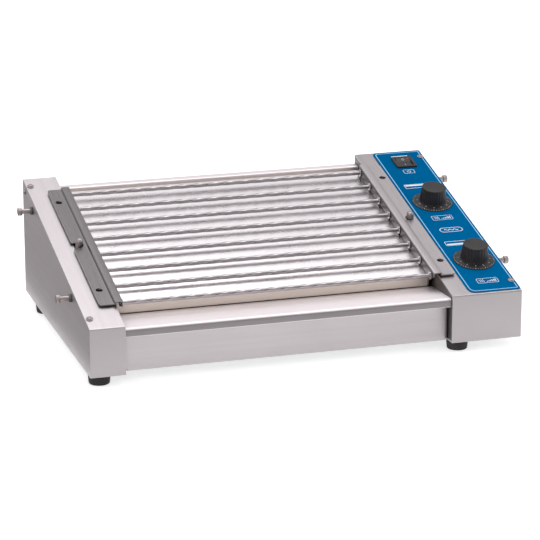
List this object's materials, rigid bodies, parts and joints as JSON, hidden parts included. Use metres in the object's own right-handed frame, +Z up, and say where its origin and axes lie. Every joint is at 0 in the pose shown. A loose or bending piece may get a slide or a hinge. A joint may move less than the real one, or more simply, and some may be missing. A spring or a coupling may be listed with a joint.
{
  "type": "hot dog grill",
  "caption": "Countertop hot dog grill: sloping heated griddle between steel housings, a sliding corral of twisted rods, thermostat knobs and a rocker switch.",
  "frame": {"origin": "centre of the footprint, power cord included, on the surface that the grill stands on", "axes": "+X to the operator's right along the rods, +Y to the back and up the slope, +Z up"},
  "size_m": [0.564, 0.3996, 0.1587],
  "materials": {
    "brushed_stainless": "brushed",
    "polished_griddle": "polished",
    "bright_steel": "polished",
    "galvanised_sheet": "galvanised",
    "element_sheath": "satin, heat-tinted",
    "mineral_wool": "fibrous",
    "motor_paint": "satin",
    "white_nylon": "satin",
    "black_plastic": "fine moulded texture",
    "black_gloss_plastic": "gloss",
    "blue_label": "satin printed film",
    "black_rubber": "matte"
  },
  "bodies": {
    "chassis": {"base_plate": "galvanised_sheet", "left_side_panel": "brushed_stainless", "left_top_cover": "brushed_stainless", "left_inner_wall": "brushed_stainless", "right_side_panel": "brushed_stainless", "right_top_cover": "brushed_stainless", "right_inner_wall": "brushed_stainless", "front_panel": "brushed_stainless", "front_deck": "brushed_stainless", "rear_panel": "brushed_stainless", "griddle_plate": "polished_griddle", "heat_shield": "galvanised_sheet", "insulation_pad": "mineral_wool", "front_heating_element": "element_sheath", "rear_heating_element": "element_sheath", "front_thermostat": "galvanised_sheet", "rear_thermostat": "galvanised_sheet", "control_label": "blue_label", "switch_body": "black_plastic", "gearmotor": "motor_paint", "left_shaft_bearing": "white_nylon", "left_slide_guide": "galvanised_sheet", "right_shaft_bearing": "white_nylon", "right_slide_guide": "galvanised_sheet", "left_front_foot": "black_rubber", "left_front_guard_stud": "bright_steel", "left_front_screw": "bright_steel", "left_rear_foot": "black_rubber", "left_rear_guard_stud": "bright_steel", "left_rear_screw": "bright_steel", "left_side_screw": "bright_steel", "right_front_foot": "black_rubber", "right_front_guard_stud": "bright_steel", "right_front_screw": "bright_steel", "right_rear_foot": "black_rubber", "right_rear_guard_stud": "bright_steel", "right_rear_screw": "bright_steel", "right_side_screw": "bright_steel", "terminal_block": "black_plastic", "strain_relief": "black_plastic", "power_cord": "black_rubber"},
    "drive_blocks": {"left_drive_block": "bright_steel", "right_drive_block": "bright_steel"},
    "corral": {"left_rail": "brushed_stainless", "right_rail": "brushed_stainless", "rod_1": "bright_steel", "rod_2": "bright_steel", "rod_3": "bright_steel", "rod_4": "bright_steel", "rod_5": "bright_steel", "rod_6": "bright_steel", "rod_7": "bright_steel", "rod_8": "bright_steel"},
    "rocker_shaft": {"cross_shaft": "bright_steel", "left_rocker_arm": "galvanised_sheet", "right_rocker_arm": "galvanised_sheet"},
    "crank": {"crank": "bright_steel"},
    "front_knob": {"front_knob": "black_plastic"},
    "rear_knob": {"rear_knob": "black_plastic"},
    "power_rocker": {"power_rocker": "black_gloss_plastic"}
  },
  "joints": [
    {"name": "drive_slide", "type": "slide", "parent": "chassis", "child": "drive_blocks", "axis": [0, 0.9713, 0.238], "range_m": [0, 0.0254]},
    {"name": "corral_lift", "type": "slide", "parent": "drive_blocks", "child": "corral", "axis": [0, -0.238, 0.9713], "range_m": [0, 0.03]},
    {"name": "rocker_swing", "type": "hinge", "parent": "chassis", "child": "rocker_shaft", "pos_m": [-0.023, 0.01345, 0.03997], "axis": [1, 0, 0], "range_deg": [-22.2, 0]},
    {"name": "crank_turn", "type": "hinge", "parent": "chassis", "child": "crank", "pos_m": [0.2015, 0.00631, 0.0691], "axis": [1, 0, 0], "range_deg": [-180, 0]},
    {"name": "front_knob_turn", "type": "hinge", "parent": "chassis", "child": "front_knob", "pos_m": [0.2311, -0.12518, 0.09352], "axis": [0, -0.238, 0.9713], "range_deg": [-270, 0]},
    {"name": "rear_knob_turn", "type": "hinge", "parent": "chassis", "child": "rear_knob", "pos_m": [0.2311, 0.01896, 0.12883], "axis": [0, -0.238, 0.9713], "range_deg": [-270, 0]},
    {"name": "power_rocker_tilt", "type": "hinge", "parent": "chassis", "child": "power_rocker", "pos_m": [0.2311, 0.12543, 0.14977], "axis": [1, 0, 0], "range_deg": [-16, 0]}
  ],
  "couplings": [
    {"joint": "rocker_swing", "follows": "drive_slide", "rad_per_m": -15.193},
    {"joint": "crank_turn", "follows": "drive_slide", "rad_per_m": -123.6}
  ]
}
